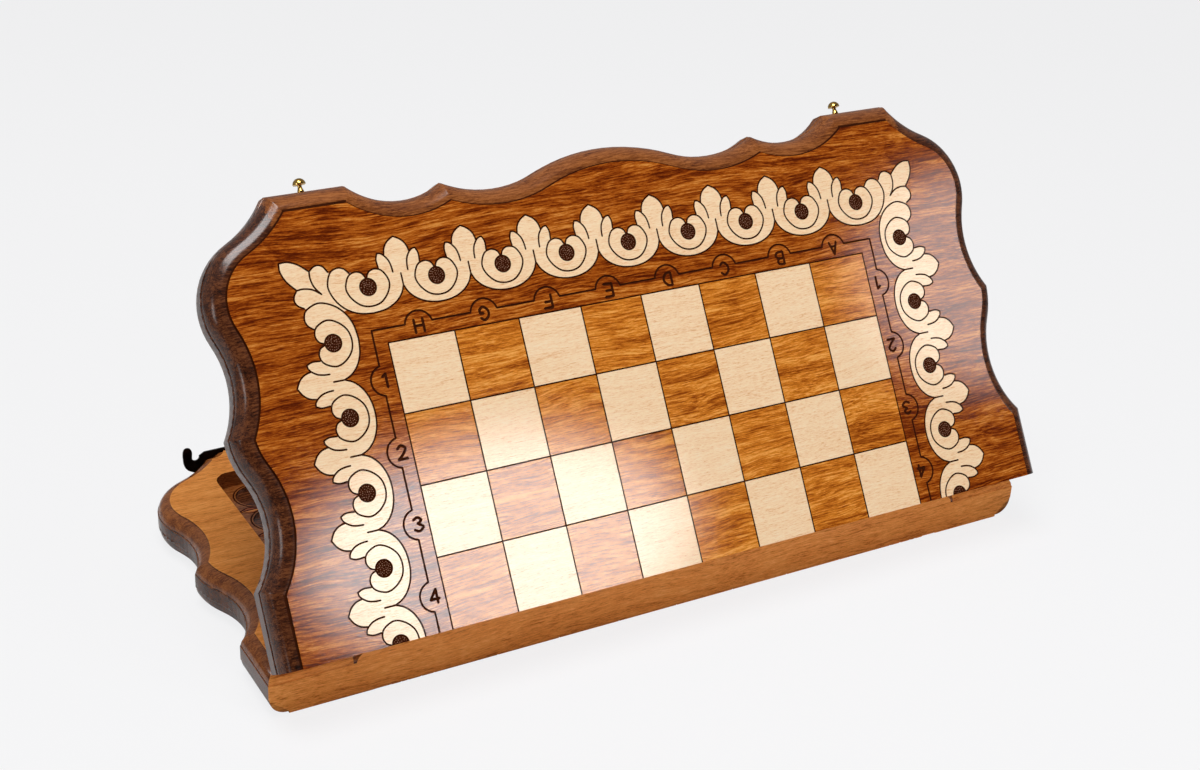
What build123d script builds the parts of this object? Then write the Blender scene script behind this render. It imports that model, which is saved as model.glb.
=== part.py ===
"""Folding chess and backgammon box: two scalloped wooden tray halves on a long hinge.

Frame: +X along the hinge, +Y from the hinge to the closing edge, +Z up. The lower half lies
on its chess face at z = 0 with its tray up. The upper half is modelled shut above it and then
opened about the hinge pin, which runs along X at y = 0. All sizes are in millimetres.
"""
from build123d import *
import os

os.makedirs("parts", exist_ok=True)

# ---- Case ---------------------------------------------------------------------------------
SQUARE = 46.5               # one square of the chess field, the measure the case is built round
HALF_LENGTH = 299.5         # centre line to the straight ends of the long side
CLOSING_EDGE = 291.8        # hinge line to the straight catch flats
BOARD_THICKNESS = 16.0      # outer board with the chess face
RIM_THICKNESS = 16.5        # rim frame round the tray
HALF_HEIGHT = BOARD_THICKNESS + RIM_THICKNESS
SEAM = 0.5                  # gap between the rims when shut, and between the walls when flat
OPEN_ANGLE = 58.3           # opening of the upper half at rest
AXIS_Z = HALF_HEIGHT + SEAM / 2
WALL_Y = SEAM / 2           # plain wall of a half on the hinge side
OVERRUN = 40.0              # edge forms run this far past the hinge wall and are sawn off there

# Turning points of the scalloped edge, and the radii of the arcs that leave them
SHOULDER = (HALF_LENGTH, 51.1)
SWELL = (291.2, 120.4)
NOSE = (297.4, 146.0)
FLANK = (292.3, 206.3)
EAR = (269.6, 267.3)
CATCH_OUTER = (241.3, CLOSING_EDGE)
CATCH_INNER = (187.6, CLOSING_EDGE)
CUSP = (121.4, 284.6)
CROWN_FLANK = (53.3, 281.5)
CROWN = (0, 291.9)
WAIST_RADIUS = 63.4
COVE_RADIUS = 65.5
SCALLOP_RADIUS = 55.6

# ---- Edge mouldings: a quirk at the face, a quarter round, then a fine ledge to the band ----
LEDGE = 0.5
FACE_QUIRK = 1.5            # chess side
FACE_ROUND = 12.0
FACE_INSET = 13.3
RIM_QUIRK = 1.0             # rim side
RIM_ROUND = 8.0
RIM_INSET = 9.0
CUTTER_OFFSET = 4.0         # axis of the moulding cutter outside the wall it follows
HINGE_RETURN_X = 242.0      # the rim moulding turns the corner and runs along the wall to here
CATCH_PAD_X = (190.0, 238.0)  # and stops here on both sides of each catch flat

# ---- Tray ---------------------------------------------------------------------------------
TRAY_HALF_LENGTH = 246.0
TRAY_NEAR, TRAY_FAR = 29.0, 258.0
TRAY_CORNER = 12.0
PANEL_THICKNESS = 4.0
PANEL_CLEARANCE = 0.2
SEAT_ROWS = 6               # checker seats along each short side
SEAT_RADIUS = 16.0
SEAT_DEPTH = 2.5
SEAT_PITCH = 37.6
SEAT_X = 219.0

# ---- Hinge --------------------------------------------------------------------------------
KNUCKLES = 23
KNUCKLE_PITCH = 20.5
KNUCKLE_GAP = 0.3
KNUCKLE_RADIUS = 2.2
PIN_RADIUS = 1.0
PIN_CLEARANCE = 0.05
PIN_HEAD_RADIUS = 1.6
PIN_HEAD = 0.8
GROOVE_RADIUS = 2.7         # round groove in both halves that clears the knuckles
LEAF_THICKNESS = 1.0
LEAF_SUNK = 0.1             # leaf below the rim
LEAF_WIDTH = 14.0
LEAF_CLEARANCE = 0.1
HINGE_HALF = KNUCKLES * KNUCKLE_PITCH / 2
LEAF_SCREW_X = (30.0, 90.0, 150.0, 210.0)
LEAF_SCREW_Y = 8.6
SCREW_HEAD_RADIUS = 2.5
SCREW_SHANK_RADIUS = 1.2
SCREW_DEPTH = 11.0
SCREW_SLOT = 0.6

# ---- Catches: swing hook on the lower half, mushroom knob on the upper ----------------------
PIVOT = (226.0, 19.5)       # hook pivot, x and z
NOTCH = (21.0, 11.5)        # knob seat in the hook, outwards and up from its pivot
NOTCH_RADIUS = 2.8
HOOK_THICKNESS = 1.6
WASHER_THICKNESS = 0.5
WASHER_RADIUS = 3.4
EYE_RADIUS = 6.0
HOOK_SCREW_RADIUS = 1.5
HOOK_SCREW_HEAD = 3.2
HOOK_SCREW_DEPTH = 12.0
KNOB_X = 211.0
KNOB_STEM = 2.2
KNOB_NECK = 1.4
KNOB_CAP = 4.3
KNOB_HEIGHT = 11.5
KNOB_SHANK = 1.5
KNOB_SHANK_DEPTH = 12.0
NOTCH_REACH = (NOTCH[0] ** 2 + NOTCH[1] ** 2) ** 0.5
KNOB_Z = PIVOT[1] + (NOTCH_REACH ** 2 - (PIVOT[0] - KNOB_X) ** 2) ** 0.5


# ---- Shared forms -------------------------------------------------------------------------
def both_sides(shape):
    """The shape and its mirror image across the centre line."""
    return [shape, mirror(shape, about=Plane.YZ)]


def case_outline():
    """Plan of a half, run on past the hinge wall so that it can be sawn off there."""
    side = Line((HALF_LENGTH, -OVERRUN), SHOULDER)
    waist = RadiusArc(SHOULDER, SWELL, WAIST_RADIUS)
    swell = TangentArc(SWELL, NOSE, tangent=waist % 1)
    cove = RadiusArc(NOSE, FLANK, COVE_RADIUS)
    ear = TangentArc(FLANK, EAR, tangent=cove % 1)
    ear_cove = TangentArc(EAR, CATCH_OUTER, tangent=ear % 1)
    flat = Line(CATCH_OUTER, CATCH_INNER)
    scallop = RadiusArc(CATCH_INNER, CUSP, SCALLOP_RADIUS)
    crown = TangentArc(CROWN, CROWN_FLANK, tangent=(1, 0))
    crown_cove = TangentArc(CROWN_FLANK, CUSP, tangent=crown % 1)
    right = [side, waist, swell, cove, ear, ear_cove, flat, scallop, crown, crown_cove]
    left = [mirror(edge, about=Plane.YZ) for edge in right]
    base = Line((-HALF_LENGTH, -OVERRUN), (HALF_LENGTH, -OVERRUN))
    return make_face(Curve() + right + left + base)


OUTLINE = case_outline()


def slab(inset, bottom, top):
    """Slice of the case between two heights, drawn in from the outline."""
    plan = offset(OUTLINE, amount=-inset, kind=Kind.INTERSECTION) if inset else OUTLINE
    return extrude(Pos(0, 0, bottom) * plan, top - bottom)


def rounded_slab(inset, bottom, top, rounded_height, radius):
    """Slab whose outer edges at one height are rounded over."""
    body = slab(inset, bottom, top)
    edges = [edge for edge in body.edges().filter_by_position(Axis.Z, rounded_height, rounded_height)]
    return fillet(edges, radius)


def wall_saw():
    """Everything in front of the hinge wall."""
    return Pos(0, WALL_Y - OVERRUN, HALF_HEIGHT / 2) * Box(4 * HALF_LENGTH, 2 * OVERRUN, 3 * HALF_HEIGHT)


def rim_cutter_profile():
    """Wood that the rim moulding cutter takes off: inset from the wall along X, height along Y."""
    foot = HALF_HEIGHT - RIM_QUIRK - RIM_ROUND
    quirk = HALF_HEIGHT - RIM_QUIRK
    top = HALF_HEIGHT + 1
    under = Polyline((-CUTTER_OFFSET, top), (-CUTTER_OFFSET, foot), (LEDGE, foot))
    quarter = RadiusArc((LEDGE, foot), (LEDGE + RIM_ROUND, quirk), RIM_ROUND)
    over = Polyline((LEDGE + RIM_ROUND, quirk), (RIM_INSET, quirk), (RIM_INSET, top), (-CUTTER_OFFSET, top))
    return make_face(Curve() + under + quarter + over)


def router_bit():
    """The rim cutter as a turned form about its own axis, standing at the origin."""
    section = Plane.XZ * (Pos(CUTTER_OFFSET, 0) * rim_cutter_profile())
    return revolve(section, Axis.Z, 360)


def box_between(low, high):
    """Box from its low corner to its high corner."""
    return Pos(*low) * Box(*[b - a for a, b in zip(low, high)], align=(Align.MIN,) * 3)


# ---- Wooden pieces of one half, as the lower half lies -----------------------------------------
def board():
    """Outer board: chess face down, quirk and quarter round along the scalloped edge."""
    face = slab(FACE_INSET, 0, FACE_QUIRK)
    shoulder = FACE_QUIRK + FACE_ROUND
    moulding = rounded_slab(LEDGE, FACE_QUIRK, shoulder, FACE_QUIRK, FACE_ROUND - 0.2)
    band = slab(0, shoulder, BOARD_THICKNESS)
    return face + moulding + band - wall_saw()


def tray_plan(clearance=0.0):
    """Plan of the tray opening, less a clearance on every side."""
    length = 2 * (TRAY_HALF_LENGTH - clearance)
    width = TRAY_FAR - TRAY_NEAR - 2 * clearance
    return Pos(0, (TRAY_NEAR + TRAY_FAR) / 2) * RectangleRounded(length, width, TRAY_CORNER - clearance)


def catch_pads(full):
    """Full-height wood left standing at the catch flats, its ends as the cutter leaves them."""
    inner, outer = CATCH_PAD_X
    block = full & box_between((inner, CLOSING_EDGE - 2 * RIM_INSET, BOARD_THICKNESS),
                               (outer, CLOSING_EDGE + 1, HALF_HEIGHT))
    for x in CATCH_PAD_X:
        block -= Pos(x, CLOSING_EDGE + CUTTER_OFFSET, 0) * router_bit()
    return both_sides(block)


def hinge_return():
    """Cut that carries the rim moulding round the corner and along the hinge wall."""
    run = HALF_LENGTH + 5 - HINGE_RETURN_X
    section = Plane((HINGE_RETURN_X, WALL_Y, 0), x_dir=(0, 1, 0), z_dir=(1, 0, 0)) * rim_cutter_profile()
    cut = extrude(section, run)
    cut += Pos(HINGE_RETURN_X, WALL_Y - CUTTER_OFFSET, 0) * router_bit()
    return both_sides(cut)


def hinge_seat():
    """Groove for the knuckles and mortise for a leaf."""
    groove = Pos(0, 0, AXIS_Z) * Rot(0, 90, 0) * Cylinder(GROOVE_RADIUS, 2 * (HINGE_HALF + 1.5))
    mortise = box_between((-HINGE_HALF - LEAF_CLEARANCE, -1, leaf_bottom()),
                          (HINGE_HALF + LEAF_CLEARANCE, LEAF_WIDTH + LEAF_CLEARANCE, HALF_HEIGHT + 1))
    return [groove, mortise]


def rim_frame():
    """Frame round the tray: moulded outer edge, hinge seat, and catch flats left full height."""
    full = slab(0, BOARD_THICKNESS, HALF_HEIGHT)
    quirk = HALF_HEIGHT - RIM_QUIRK
    foot = quirk - RIM_ROUND
    frame = slab(0, BOARD_THICKNESS, foot)
    frame += rounded_slab(LEDGE, foot, quirk, quirk, RIM_ROUND - 0.1)
    frame += slab(RIM_INSET, quirk, HALF_HEIGHT)
    frame += catch_pads(full)
    frame -= extrude(Pos(0, 0, BOARD_THICKNESS) * tray_plan(), RIM_THICKNESS)
    frame -= [wall_saw()] + hinge_return() + hinge_seat()
    return frame - [place * screw_form() for place in leaf_screw_places()]


def tray_floor():
    """Panel in the bottom of the tray with a row of round checker seats at each short side."""
    panel = extrude(Pos(0, 0, BOARD_THICKNESS) * tray_plan(PANEL_CLEARANCE), PANEL_THICKNESS)
    middle = (TRAY_NEAR + TRAY_FAR) / 2
    top = BOARD_THICKNESS + PANEL_THICKNESS
    seats = [Pos(x, middle + (row - (SEAT_ROWS - 1) / 2) * SEAT_PITCH, top) * Cylinder(SEAT_RADIUS, 2 * SEAT_DEPTH)
             for x in (-SEAT_X, SEAT_X) for row in range(SEAT_ROWS)]
    return panel - seats


# ---- Hinge --------------------------------------------------------------------------------
def leaf_bottom():
    return HALF_HEIGHT - LEAF_SUNK - LEAF_THICKNESS


def leaf_screw_places():
    """Screw positions on a leaf, at the top of the leaf."""
    top = HALF_HEIGHT - LEAF_SUNK
    return [Pos(side * x, LEAF_SCREW_Y, top) for side in (-1, 1) for x in LEAF_SCREW_X]


def screw_form():
    """Countersunk wood screw, head up, with its head's top at the origin."""
    shank_end = -SCREW_DEPTH + 2 * SCREW_SHANK_RADIUS
    profile = Polyline((0, 0), (SCREW_HEAD_RADIUS, 0), (SCREW_SHANK_RADIUS, -LEAF_THICKNESS),
                       (SCREW_SHANK_RADIUS, shank_end), (0, -SCREW_DEPTH), (0, 0))
    return revolve(Plane.XZ * make_face(profile), Axis.Z, 360)


def leaf_screws():
    """Eight leaf screws with slotted heads."""
    slot = Box(3 * SCREW_HEAD_RADIUS, SCREW_SLOT, SCREW_SLOT)
    return Compound([place * (screw_form() - slot) for place in leaf_screw_places()])


def leaf(first):
    """Hinge leaf of the lower half with every second knuckle, counted from the one given."""
    bottom = leaf_bottom()
    top = bottom + LEAF_THICKNESS
    plate = box_between((-HINGE_HALF, GROOVE_RADIUS + 0.2, bottom), (HINGE_HALF, LEAF_WIDTH, top))
    for index in range(first, KNUCKLES, 2):
        start = -HINGE_HALF + index * KNUCKLE_PITCH + KNUCKLE_GAP / 2
        length = KNUCKLE_PITCH - KNUCKLE_GAP
        centre = start + length / 2
        plate += box_between((start, 0, bottom), (start + length, GROOVE_RADIUS + 0.2, top))
        plate += Pos(centre, 0, AXIS_Z) * Rot(0, 90, 0) * Cylinder(KNUCKLE_RADIUS, length)
    bore = Pos(0, 0, AXIS_Z) * Rot(0, 90, 0) * Cylinder(PIN_RADIUS + PIN_CLEARANCE, 3 * HINGE_HALF)
    return plate - bore - [place * screw_form() for place in leaf_screw_places()]


def hinge_pin():
    """Pin with a peened head against each end knuckle."""
    reach = HINGE_HALF - KNUCKLE_GAP / 2
    shaft = Rot(0, 90, 0) * Cylinder(PIN_RADIUS, 2 * reach)
    heads = [Pos(side * (reach + PIN_HEAD / 2), 0, 0) * Rot(0, 90, 0) * Cylinder(PIN_HEAD_RADIUS, PIN_HEAD)
             for side in (-1, 1)]
    return Pos(0, 0, AXIS_Z) * (shaft + heads)


# ---- Catches ------------------------------------------------------------------------------
def against_edge(standoff):
    """Plane parallel to the closing edge: X outwards, Y up, facing out, centred on the pivot."""
    return Plane((PIVOT[0], CLOSING_EDGE + standoff, PIVOT[1]), x_dir=(1, 0, 0), z_dir=(0, -1, 0))


def hook_plan():
    """Swing hook as it lies at rest: eye, thumb lever above it, notch and upright prong."""
    u, v = NOTCH
    prong_back = Spline((26.4, 20.2), (30.6, 12.0), (27.0, 1.6), (12.0, -4.6), (0, -EYE_RADIUS),
                        tangents=((1, 0.2), (-1, 0)))
    eye = ThreePointArc((0, -EYE_RADIUS), (-EYE_RADIUS, 0), (-4.0, 4.5))
    lever_back = Spline((-4.0, 4.5), (-3.6, 8.8), (-7.0, 13.2), tangents=((0.7, 0.7), (-1, 0.4)))
    lever_tip = ThreePointArc((-7.0, 13.2), (-7.2, 14.8), (-5.6, 15.0))
    shoulder = Line((-5.6, 15.0), (14.0, 14.6))
    mouth = Line((14.0, 14.6), (u - NOTCH_RADIUS, v + 0.6))
    seat = ThreePointArc((u - NOTCH_RADIUS, v + 0.6), (u, v - NOTCH_RADIUS), (u + NOTCH_RADIUS, v))
    prong = Spline((u + NOTCH_RADIUS, v), (23.6, 16.6), (26.4, 20.2), tangents=((0, 1), (1, 0.2)))
    return make_face(Curve() + [prong_back, eye, lever_back, lever_tip, shoulder, mouth, seat, prong])


def hook():
    """Right-hand swing hook at rest on its washer."""
    plan = hook_plan() - Circle(HOOK_SCREW_RADIUS + PIN_CLEARANCE)
    plate = extrude(against_edge(WASHER_THICKNESS) * plan, -HOOK_THICKNESS)
    return plate


def hook_screw():
    """Round-head screw that the right-hand hook turns on, with its shank in the wood."""
    seat = WASHER_THICKNESS + HOOK_THICKNESS + PIN_CLEARANCE
    shank = extrude(against_edge(seat) * Circle(HOOK_SCREW_RADIUS), seat + HOOK_SCREW_DEPTH)
    head = extrude(against_edge(seat) * Circle(HOOK_SCREW_HEAD), -1.8)
    head = fillet(head.edges().sort_by(Axis.Y)[-1], 1.4)
    return shank + head


def hook_washer():
    """Washer between the right-hand hook and the edge of the case."""
    ring = Circle(WASHER_RADIUS) - Circle(HOOK_SCREW_RADIUS)
    return extrude(against_edge(0) * ring, -WASHER_THICKNESS)


def catch_knob():
    """Turned mushroom knob of the right-hand catch, with its shank in the upper half."""
    stem = Polyline((0, -KNOB_SHANK_DEPTH), (KNOB_SHANK, -KNOB_SHANK_DEPTH), (KNOB_SHANK, 0), (KNOB_STEM, 0),
                    (KNOB_STEM, 3.0), (KNOB_NECK, 5.4), (KNOB_NECK, 6.6))
    under = Line((KNOB_NECK, 6.6), (KNOB_CAP, 7.2))
    lip = Line((KNOB_CAP, 7.2), (KNOB_CAP, 7.9))
    cap = TangentArc((0, KNOB_HEIGHT), (KNOB_CAP, 7.9), tangent=(1, 0))
    axis = Line((0, KNOB_HEIGHT), (0, -KNOB_SHANK_DEPTH))
    turned = revolve(Plane.XZ * make_face(Curve() + [stem, under, lip, cap, axis]), Axis.Z, 360)
    return Pos(KNOB_X, CLOSING_EDGE, KNOB_Z) * Rot(-90, 0, 0) * turned


def drilled(wood, screw):
    """The wood with holes for a pair of fasteners."""
    return wood - both_sides(screw)


# ---- Placing and writing ------------------------------------------------------------------
def shut_above(shape):
    """A piece of the lower half turned into its twin on the shut upper half."""
    return mirror(shape, about=Plane.XY.offset(AXIS_Z))


def opened(shape):
    """Swing a piece of the shut upper half open about the hinge pin."""
    return Pos(0, 0, AXIS_Z) * Rot(OPEN_ANGLE, 0, 0) * Pos(0, 0, -AXIS_Z) * shape


lower_board = drilled(board(), hook_screw())
lower_frame = drilled(rim_frame(), hook_screw())
upper_board = shut_above(board())
upper_frame = drilled(shut_above(rim_frame()), catch_knob())
right_knob, left_knob = both_sides(catch_knob())
right_hook, left_hook = both_sides(hook())

pieces = {
    "lower_board": lower_board,
    "lower_rim_frame": lower_frame,
    "lower_tray_floor": tray_floor(),
    "hinge_leaf_lower": leaf(0),
    "hinge_screws_lower": leaf_screws(),
    "hinge_pin": hinge_pin(),
    "hook_screws": Compound(both_sides(hook_screw())),
    "hook_washers": Compound(both_sides(hook_washer())),
    "hook_left": left_hook,
    "hook_right": right_hook,
    "upper_board": opened(upper_board),
    "upper_rim_frame": opened(upper_frame),
    "upper_tray_floor": opened(shut_above(tray_floor())),
    "hinge_leaf_upper": opened(shut_above(leaf(1))),
    "hinge_screws_upper": opened(shut_above(leaf_screws())),
    "catch_knob_left": opened(left_knob),
    "catch_knob_right": opened(right_knob),
}

for name, piece in pieces.items():
    export_step(piece, f"parts/{name}.step")
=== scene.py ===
import bmesh
import bpy
import math
import numpy as np
from mathutils import Matrix, Quaternion, Vector
from mathutils.geometry import delaunay_2d_cdt


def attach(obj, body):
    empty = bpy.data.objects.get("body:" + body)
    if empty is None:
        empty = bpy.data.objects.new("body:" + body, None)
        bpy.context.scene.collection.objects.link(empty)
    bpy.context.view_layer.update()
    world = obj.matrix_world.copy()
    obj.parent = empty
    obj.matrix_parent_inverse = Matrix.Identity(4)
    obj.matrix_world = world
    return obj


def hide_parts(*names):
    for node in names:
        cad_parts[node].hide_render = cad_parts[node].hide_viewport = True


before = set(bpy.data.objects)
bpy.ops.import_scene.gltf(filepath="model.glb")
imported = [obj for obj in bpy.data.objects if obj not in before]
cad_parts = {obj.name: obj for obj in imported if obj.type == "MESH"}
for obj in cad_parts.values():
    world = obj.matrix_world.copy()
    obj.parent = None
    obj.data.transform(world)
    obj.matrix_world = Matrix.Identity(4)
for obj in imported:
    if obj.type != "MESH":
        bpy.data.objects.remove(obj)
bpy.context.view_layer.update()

MM = 0.001
# The case, in millimetres as the CAD gives them
SQUARE = 46.5               # one chess square, the unit of every carved pattern on the boards
AXIS_Z = 32.75              # hinge axis above the table
OPEN = math.radians(58.3)   # how far the upper half stands open at rest
HALF_HEIGHT = 32.5
FACE_QUIRK = 1.5            # small step between a chess face and its moulding
RIM_INSET = 9.3             # width of the rim moulding
RIM_FOOT = 23.4             # the rim moulding lies further than this from the chess face
SCOOP_X, RETURN_X = 248.0, 289.5    # the rim moulding's return along the hinge wall
FAR_SIDE, FAR_CORNER_X = 240.0, 244.0   # mouldings past this belong to the closing side
FLOOR_TOP = 20.0            # carved side of a tray floor, above the chess face
HINGE_WALL = 0.25           # plain wall of each half, from the hinge axis
TOUCH = 1e-3                # nearer than this counts as on a plane
SLACK = 0.1                 # room for the rounding of a solid's rims and edges

# Carved lines: half widths, depth and the spacing of the points along them
GROOVE = 0.58
FIELD_GROOVE = 0.5
FRAME_GROOVE = 0.7
LETTER_GROOVE = 0.95
GROOVE_DEPTH = 0.6
GROOVE_LIP = 0.03           # share of a groove that stays level at its edge
STAIN_LIP = 0.02            # share of a groove left unstained at its edge
STEP = 1.3
LETTER_STEP = 0.9


# ---- Frames of the carved faces: x along the hinge, y away from it, z out of the wood -----------
TO_AXIS = Matrix.Translation((0, 0, AXIS_Z))
SHUT = TO_AXIS @ Matrix.Rotation(-OPEN, 4, "X") @ TO_AXIS.inverted()
FLIP = Matrix.Rotation(math.pi, 4, "Y")


def face_frame(height, opened, outward):
    """World to face: a half's plane at this height above z = 0 when the case is shut."""
    turn = Matrix.Identity(4) if outward > 0 else FLIP
    shut = SHUT if opened else Matrix.Identity(4)
    return turn @ Matrix.Translation((0, 0, -height)) @ shut


FACES = {
    "upper_board": face_frame(2 * AXIS_Z, True, 1),
    "lower_board": face_frame(0, False, -1),
    "upper_tray_floor": face_frame(2 * AXIS_Z - FLOOR_TOP, True, -1),
    "lower_tray_floor": face_frame(FLOOR_TOP, False, 1),
}


# ---- Carved lines -------------------------------------------------------------------------------
def flowing(points, unit=SQUARE, step=STEP):
    """Smooth line in millimetres through a carver's marked points."""
    p = np.array([points[0], *points, points[-1]], float) * unit
    line = []
    for a, b, c, d in zip(p, p[1:], p[2:], p[3:]):
        count = 1 if len(points) == 2 else max(2, math.ceil(np.linalg.norm(c - b) / step))
        t = np.linspace(0, 1, count, endpoint=False)[:, None]
        bend = 2 * a - 5 * b + 4 * c - d + t * (3 * b - a - 3 * c + d)
        line.append(b + 0.5 * t * (c - a + t * bend))
    return np.vstack([*line, p[-1:]])


def ring(centre, radius, unit=SQUARE, parts=28):
    angles = np.linspace(0, 2 * math.pi, parts + 1)
    return (np.array(centre) + radius * np.c_[np.cos(angles), np.sin(angles)]) * unit


def mirrored(points):
    return [(-x, y) for x, y in points]


def there_and_back(points):
    """A half pattern that ends on its own centre line, and its mirror image, as one line."""
    return points + mirrored(points)[-2::-1]


# Ornament, in squares. A cell is drawn about its dot and a trefoil about the joint of two cells,
# both with +y outwards. The corner is drawn in place for the left far corner.
CELL_PITCH = 1.0265
DOT_RADIUS = 0.116
FAR_ROW = 4.80
SIDE_ROW = 4.77
SIDE_PITCH = 1.0333
CURL = [(0.004, 0.11), (0.045, 0.195), (0.14, 0.232), (0.25, 0.185), (0.318, 0.03),
        (0.27, -0.115), (0.15, -0.232), (0, -0.268)]
CRESCENT = [(0.515, -0.05), (0.46, -0.165), (0.35, -0.27), (0.19, -0.342), (0, -0.366)]
CRESCENT_END = [(0.225, 0.225), (0.29, 0.30), (0.38, 0.325), (0.49, 0.28), (0.56, 0.13),
                (0.55, 0), (0.475, -0.15), (0.35, -0.27), (0.19, -0.342), (0, -0.366)]
STEM = [(0, -0.05), (0, 0.115)]
LEAF = [(0.19, 0.39), (0.165, 0.49), (0.10, 0.575), (0, 0.634)]
LEAFLET_VEIN = [(0.112, 0.144), (0.118, 0.23), (0.142, 0.32), (0.19, 0.39)]
LEAFLET_TOP = [(0.284, 0.432), (0.235, 0.425), (0.19, 0.39)]
LEAFLET_BACK = [(0.31, 0.236), (0.316, 0.35), (0.284, 0.432)]
CORNER_LEAF = [(-5.28, 5.31), (-5.16, 5.314), (-5.02, 5.256), (-4.884, 5.14)]
CORNER_VEIN = [(-4.884, 5.14), (-4.89, 5.04), (-4.86, 4.92), (-4.78, 4.81)]
CORNER_LEAFLET = [(-4.884, 5.14), (-4.82, 5.19), (-4.75, 5.206), (-4.68, 5.176), (-4.626, 5.09)]
CORNER_FOLD = 0.03          # the corner is its own mirror image in the line x + y = this
CORNER_HEART = [(-4.56, 4.8), (-4.5, 4.53)]

# Sunk dots and the grains that the punch leaves in them, in millimetres
DOT_DEPTH = 0.45
DOT_WALL = 0.2              # the wall of a dot slopes in by this
GRAIN_SPACING = 1.15
GRAIN_RADIUS = 0.46
GRAIN_SIZES = (0.65, 0.95)  # shares of that radius, so that no grain stands above the flat
GRAIN_MARGIN = 0.9          # bare strip inside a dot's wall
GRAIN_WALL = 0.8            # and along the hinge wall


def placed(line, x, y, turns=0):
    """A line moved to (x, y) squares after quarter turns to the left."""
    c, s = round(math.cos(turns * math.pi / 2)), round(math.sin(turns * math.pi / 2))
    return line @ np.array([[c, s], [-s, c]]) + np.array([x, y]) * SQUARE


def folded(line):
    return CORNER_FOLD * SQUARE - line[:, ::-1]


def ornament():
    """Carved lines, the outlines of the bare wood between them, and the dots, for one board."""
    curl = flowing(there_and_back(CURL))
    crescent = flowing(there_and_back(CRESCENT))
    end = flowing(CRESCENT_END)
    heart = np.array([(0, -0.2), (0.2, 0.1)]) * SQUARE
    brow = np.array([(-0.515, 0.1), (0.515, 0.1)]) * SQUARE
    end_fill = np.vstack([end, heart])
    half_fill = np.vstack([flowing(CRESCENT), heart, brow[1:]])
    crescent_fill = np.vstack([crescent, brow])
    trefoil_side = [flowing(part) for part in (LEAFLET_BACK, LEAFLET_TOP, LEAF)]
    trefoil_half = np.vstack(trefoil_side)
    flip = np.array([-1, 1])
    trefoil_fill = np.vstack([trefoil_half, trefoil_half[::-1] * flip,
                              np.array([(-0.28, 0.02), (0.28, 0.02)]) * SQUARE])
    trefoil = [part * side for part in (*trefoil_side, flowing(LEAFLET_VEIN)) for side in (1, flip)]
    trefoil.append(flowing(STEM))

    lines, fills, dots = [], [], []
    rows = [((k - 4) * CELL_PITCH, FAR_ROW, 0, abs(k - 4) == 4) for k in range(9)]
    rows += [(-SIDE_ROW, k * SIDE_PITCH, 1, k == 4) for k in range(5)]
    rows += [(SIDE_ROW, k * SIDE_PITCH, 3, k == 4) for k in range(5)]
    for x, y, turns, at_corner in rows:
        dots.append((x, y))
        lines += [placed(curl, x, y, turns), placed(ring((0, 0), DOT_RADIUS), x, y)]
        fills.append(placed(curl, x, y, turns))
        if not at_corner:
            lines.append(placed(crescent, x, y, turns))
            fills.append(placed(crescent_fill, x, y, turns))
            continue
        mirror_end = turns == 3 or (turns == 0 and x < 0)
        outer, inner = (flip, 1) if mirror_end else (1, flip)
        lines += [placed(end * outer, x, y, turns), placed(flowing(CRESCENT) * inner, x, y, turns)]
        fills += [placed(end_fill * outer, x, y, turns), placed(half_fill * inner, x, y, turns)]
    joints = [((k - 3.5) * CELL_PITCH, FAR_ROW, 0) for k in range(8)]
    joints += [(side * SIDE_ROW, (k + 0.5) * SIDE_PITCH, 2 + side)
               for side in (-1, 1) for k in range(4)]
    for x, y, turns in joints:
        lines += [placed(part, x, y, turns) for part in trefoil]
        fills.append(placed(trefoil_fill, x, y, turns))
    corner = [flowing(part) for part in (CORNER_LEAF, CORNER_LEAFLET, CORNER_VEIN)]
    edge = np.vstack([corner[0], corner[1], np.array(CORNER_HEART) * SQUARE])
    corner_fill = np.vstack([edge, folded(edge)[::-1]])
    for side in (1, flip):
        lines += [part * side for half in corner for part in (half, folded(half))]
        fills.append(corner_fill * side)
    return lines, fills, dots


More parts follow.
